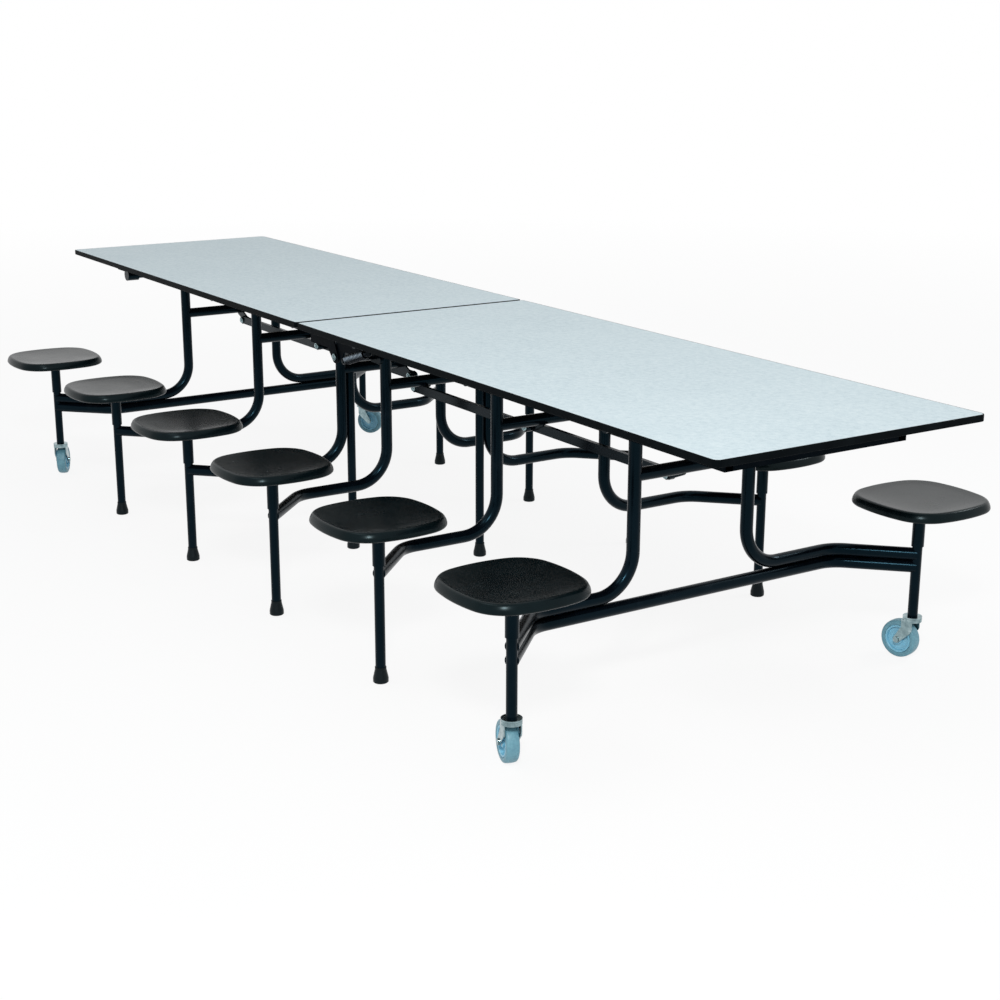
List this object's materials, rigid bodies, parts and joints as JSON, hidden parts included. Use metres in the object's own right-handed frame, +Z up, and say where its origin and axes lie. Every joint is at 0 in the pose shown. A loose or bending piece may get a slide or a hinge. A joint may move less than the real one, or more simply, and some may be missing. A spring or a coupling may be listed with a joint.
{
  "type": "folding mobile table with attached swivel seats",
  "caption": "Folding mobile canteen table: two hinged laminate leaves on black tube frames that carry swivel seats on both sides, with casters at the ends, floor glides and lift springs.",
  "frame": {"origin": "on the floor under the centre hinge, halfway between the two ends and the two rows of seats", "axes": "+X along the table from the far half to the near half, +Y across the table, +Z up"},
  "size_m": [3.658, 1.508, 0.737],
  "materials": {
    "laminate": "satin pale blue-grey laminate with a fine mottled speckle",
    "core": "pressed board with a brown backing sheet below",
    "edge_band": "black moulded edge strip",
    "black_frame": "semi-gloss black powder coat",
    "spring_steel": "black oiled spring wire",
    "glide": "black nylon",
    "seat": "satin black moulded plastic with a fine grain",
    "zinc": "bright zinc plate",
    "wheel": "blue-grey tyre on a lighter hub"
  },
  "bodies": {
    "near_top": {"near_laminate": "laminate", "near_tabletop": "core", "near_edge_band": "edge_band", "near_rails": "black_frame", "near_hinge_leaves": "black_frame", "near_pivot_bushings": "glide"},
    "near_centre_frame": {"near_lift_spring": "spring_steel", "near_centre_frame": "black_frame", "near_centre_glides": "glide"},
    "near_struts": {"near_fold_struts": "black_frame"},
    "near_end_frame": {"near_end_frame": "black_frame", "near_caster_stems": "zinc"},
    "near_middle_frame": {"near_middle_frame": "black_frame", "near_middle_glides": "glide"},
    "seat_near_end_left": {"seat_near_end_left": "seat", "seat_swivel_near_end_left": "black_frame"},
    "seat_near_middle_left": {"seat_near_middle_left": "seat", "seat_swivel_near_middle_left": "black_frame"},
    "seat_near_centre_left": {"seat_near_centre_left": "seat", "seat_swivel_near_centre_left": "black_frame"},
    "caster_fork_near_left": {"caster_fork_near_left": "zinc"},
    "caster_wheel_near_left": {"caster_wheel_near_left": "wheel"},
    "seat_near_end_right": {"seat_near_end_right": "seat", "seat_swivel_near_end_right": "black_frame"},
    "seat_near_middle_right": {"seat_near_middle_right": "seat", "seat_swivel_near_middle_right": "black_frame"},
    "seat_near_centre_right": {"seat_near_centre_right": "seat", "seat_swivel_near_centre_right": "black_frame"},
    "caster_fork_near_right": {"caster_fork_near_right": "zinc"},
    "caster_wheel_near_right": {"caster_wheel_near_right": "wheel"},
    "far_top": {"far_laminate": "laminate", "far_tabletop": "core", "far_edge_band": "edge_band", "far_rails": "black_frame", "far_hinge_leaves": "black_frame", "far_pivot_bushings": "glide"},
    "far_centre_frame": {"far_lift_spring": "spring_steel", "far_centre_frame": "black_frame", "far_centre_glides": "glide"},
    "far_struts": {"far_fold_struts": "black_frame"},
    "far_end_frame": {"far_end_frame": "black_frame", "far_caster_stems": "zinc"},
    "far_middle_frame": {"far_middle_frame": "black_frame", "far_middle_glides": "glide"},
    "seat_far_end_left": {"seat_far_end_left": "seat", "seat_swivel_far_end_left": "black_frame"},
    "seat_far_middle_left": {"seat_far_middle_left": "seat", "seat_swivel_far_middle_left": "black_frame"},
    "seat_far_centre_left": {"seat_far_centre_left": "seat", "seat_swivel_far_centre_left": "black_frame"},
    "caster_fork_far_left": {"caster_fork_far_left": "zinc"},
    "caster_wheel_far_left": {"caster_wheel_far_left": "wheel"},
    "seat_far_end_right": {"seat_far_end_right": "seat", "seat_swivel_far_end_right": "black_frame"},
    "seat_far_middle_right": {"seat_far_middle_right": "seat", "seat_swivel_far_middle_right": "black_frame"},
    "seat_far_centre_right": {"seat_far_centre_right": "seat", "seat_swivel_far_centre_right": "black_frame"},
    "caster_fork_far_right": {"caster_fork_far_right": "zinc"},
    "caster_wheel_far_right": {"caster_wheel_far_right": "wheel"}
  },
  "joints": [
    {"name": "table_fold", "type": "hinge", "parent": "near_end_frame", "child": "near_top", "pos_m": [1.354, 0, 0.701], "axis": [0, 1, 0], "range_deg": [0, 82]},
    {"name": "near_middle_pivot", "type": "hinge", "parent": "near_top", "child": "near_middle_frame", "pos_m": [0.772, 0, 0.701], "axis": [0, 1, 0], "range_deg": [-82, 0]},
    {"name": "near_centre_pivot", "type": "hinge", "parent": "near_top", "child": "near_centre_frame", "pos_m": [0.19, 0, 0.701], "axis": [0, 1, 0], "range_deg": [-82, 0], "deforming": ["near_lift_spring"]},
    {"name": "near_strut_pivot", "type": "hinge", "parent": "near_end_frame", "child": "near_struts", "pos_m": [1.24, 0, 0.527], "axis": [0, 1, 0], "range_deg": [0, 82]},
    {"name": "centre_hinge", "type": "hinge", "parent": "near_top", "child": "far_top", "pos_m": [0, 0, 0.627], "axis": [0, 1, 0], "range_deg": [-164, 0]},
    {"name": "far_centre_pivot", "type": "hinge", "parent": "far_top", "child": "far_centre_frame", "pos_m": [-0.19, 0, 0.701], "axis": [0, 1, 0], "range_deg": [0, 82], "deforming": ["far_lift_spring"]},
    {"name": "far_middle_pivot", "type": "hinge", "parent": "far_top", "child": "far_middle_frame", "pos_m": [-0.772, 0, 0.701], "axis": [0, 1, 0], "range_deg": [0, 82]},
    {"name": "far_end_pivot", "type": "hinge", "parent": "far_top", "child": "far_end_frame", "pos_m": [-1.354, 0, 0.701], "axis": [0, 1, 0], "range_deg": [0, 82]},
    {"name": "far_strut_pivot", "type": "hinge", "parent": "far_end_frame", "child": "far_struts", "pos_m": [-1.24, 0, 0.527], "axis": [0, 1, 0], "range_deg": [-82, 0]},
    {"name": "seat_turn_near_end_left", "type": "hinge", "parent": "near_end_frame", "child": "seat_near_end_left", "pos_m": [1.45, -0.604, 0.406], "axis": [0, 0, 1], "continuous": true},
    {"name": "seat_turn_near_middle_left", "type": "hinge", "parent": "near_middle_frame", "child": "seat_near_middle_left", "pos_m": [0.868, -0.604, 0.406], "axis": [0, 0, 1], "continuous": true},
    {"name": "seat_turn_near_centre_left", "type": "hinge", "parent": "near_centre_frame", "child": "seat_near_centre_left", "pos_m": [0.286, -0.604, 0.406], "axis": [0, 0, 1], "continuous": true},
    {"name": "caster_turn_near_left", "type": "hinge", "parent": "near_end_frame", "child": "caster_fork_near_left", "pos_m": [1.45, -0.604, 0.11], "axis": [0, 0, 1], "continuous": true},
    {"name": "wheel_roll_near_left", "type": "hinge", "parent": "caster_fork_near_left", "child": "caster_wheel_near_left", "pos_m": [1.42131, -0.59523, 0.049], "axis": [-0.2924, -0.9563, 0], "continuous": true},
    {"name": "seat_turn_near_end_right", "type": "hinge", "parent": "near_end_frame", "child": "seat_near_end_right", "pos_m": [1.45, 0.604, 0.406], "axis": [0, 0, 1], "continuous": true},
    {"name": "seat_turn_near_middle_right", "type": "hinge", "parent": "near_middle_frame", "child": "seat_near_middle_right", "pos_m": [0.868, 0.604, 0.406], "axis": [0, 0, 1], "continuous": true},
    {"name": "seat_turn_near_centre_right", "type": "hinge", "parent": "near_centre_frame", "child": "seat_near_centre_right", "pos_m": [0.286, 0.604, 0.406], "axis": [0, 0, 1], "continuous": true},
    {"name": "caster_turn_near_right", "type": "hinge", "parent": "near_end_frame", "child": "caster_fork_near_right", "pos_m": [1.45, 0.604, 0.11], "axis": [0, 0, 1], "continuous": true},
    {"name": "wheel_roll_near_right", "type": "hinge", "parent": "caster_fork_near_right", "child": "caster_wheel_near_right", "pos_m": [1.42077, 0.59725, 0.049], "axis": [0.225, -0.9744, 0], "continuous": true},
    {"name": "seat_turn_far_end_left", "type": "hinge", "parent": "far_end_frame", "child": "seat_far_end_left", "pos_m": [-1.45, -0.604, 0.406], "axis": [0, 0, 1], "continuous": true},
    {"name": "seat_turn_far_middle_left", "type": "hinge", "parent": "far_middle_frame", "child": "seat_far_middle_left", "pos_m": [-0.868, -0.604, 0.406], "axis": [0, 0, 1], "continuous": true},
    {"name": "seat_turn_far_centre_left", "type": "hinge", "parent": "far_centre_frame", "child": "seat_far_centre_left", "pos_m": [-0.286, -0.604, 0.406], "axis": [0, 0, 1], "continuous": true},
    {"name": "caster_turn_far_left", "type": "hinge", "parent": "far_end_frame", "child": "caster_fork_far_left", "pos_m": [-1.45, -0.604, 0.11], "axis": [0, 0, 1], "continuous": true},
    {"name": "wheel_roll_far_left", "type": "hinge", "parent": "caster_fork_far_left", "child": "caster_wheel_far_left", "pos_m": [-1.47598, -0.589, 0.049], "axis": [-0.5, -0.866, 0], "continuous": true},
    {"name": "seat_turn_far_end_right", "type": "hinge", "parent": "far_end_frame", "child": "seat_far_end_right", "pos_m": [-1.45, 0.604, 0.406], "axis": [0, 0, 1], "continuous": true},
    {"name": "seat_turn_far_middle_right", "type": "hinge", "parent": "far_middle_frame", "child": "seat_far_middle_right", "pos_m": [-0.868, 0.604, 0.406], "axis": [0, 0, 1], "continuous": true},
    {"name": "seat_turn_far_centre_right", "type": "hinge", "parent": "far_centre_frame", "child": "seat_far_centre_right", "pos_m": [-0.286, 0.604, 0.406], "axis": [0, 0, 1], "continuous": true},
    {"name": "caster_turn_far_right", "type": "hinge", "parent": "far_end_frame", "child": "caster_fork_far_right", "pos_m": [-1.45, 0.604, 0.11], "axis": [0, 0, 1], "continuous": true},
    {"name": "wheel_roll_far_right", "type": "hinge", "parent": "caster_fork_far_right", "child": "caster_wheel_far_right", "pos_m": [-1.42702, 0.62328, 0.049], "axis": [-0.6428, 0.766, 0], "continuous": true}
  ],
  "couplings": [
    {"joint": "near_middle_pivot", "follows": "table_fold", "ratio": -1},
    {"joint": "near_centre_pivot", "follows": "table_fold", "ratio": -1},
    {"joint": "near_strut_pivot", "follows": "table_fold", "ratio": 1},
    {"joint": "centre_hinge", "follows": "table_fold", "ratio": -2},
    {"joint": "far_centre_pivot", "follows": "table_fold", "ratio": 1},
    {"joint": "far_middle_pivot", "follows": "table_fold", "ratio": 1},
    {"joint": "far_end_pivot", "follows": "table_fold", "ratio": 1},
    {"joint": "far_strut_pivot", "follows": "table_fold", "ratio": -1}
  ]
}
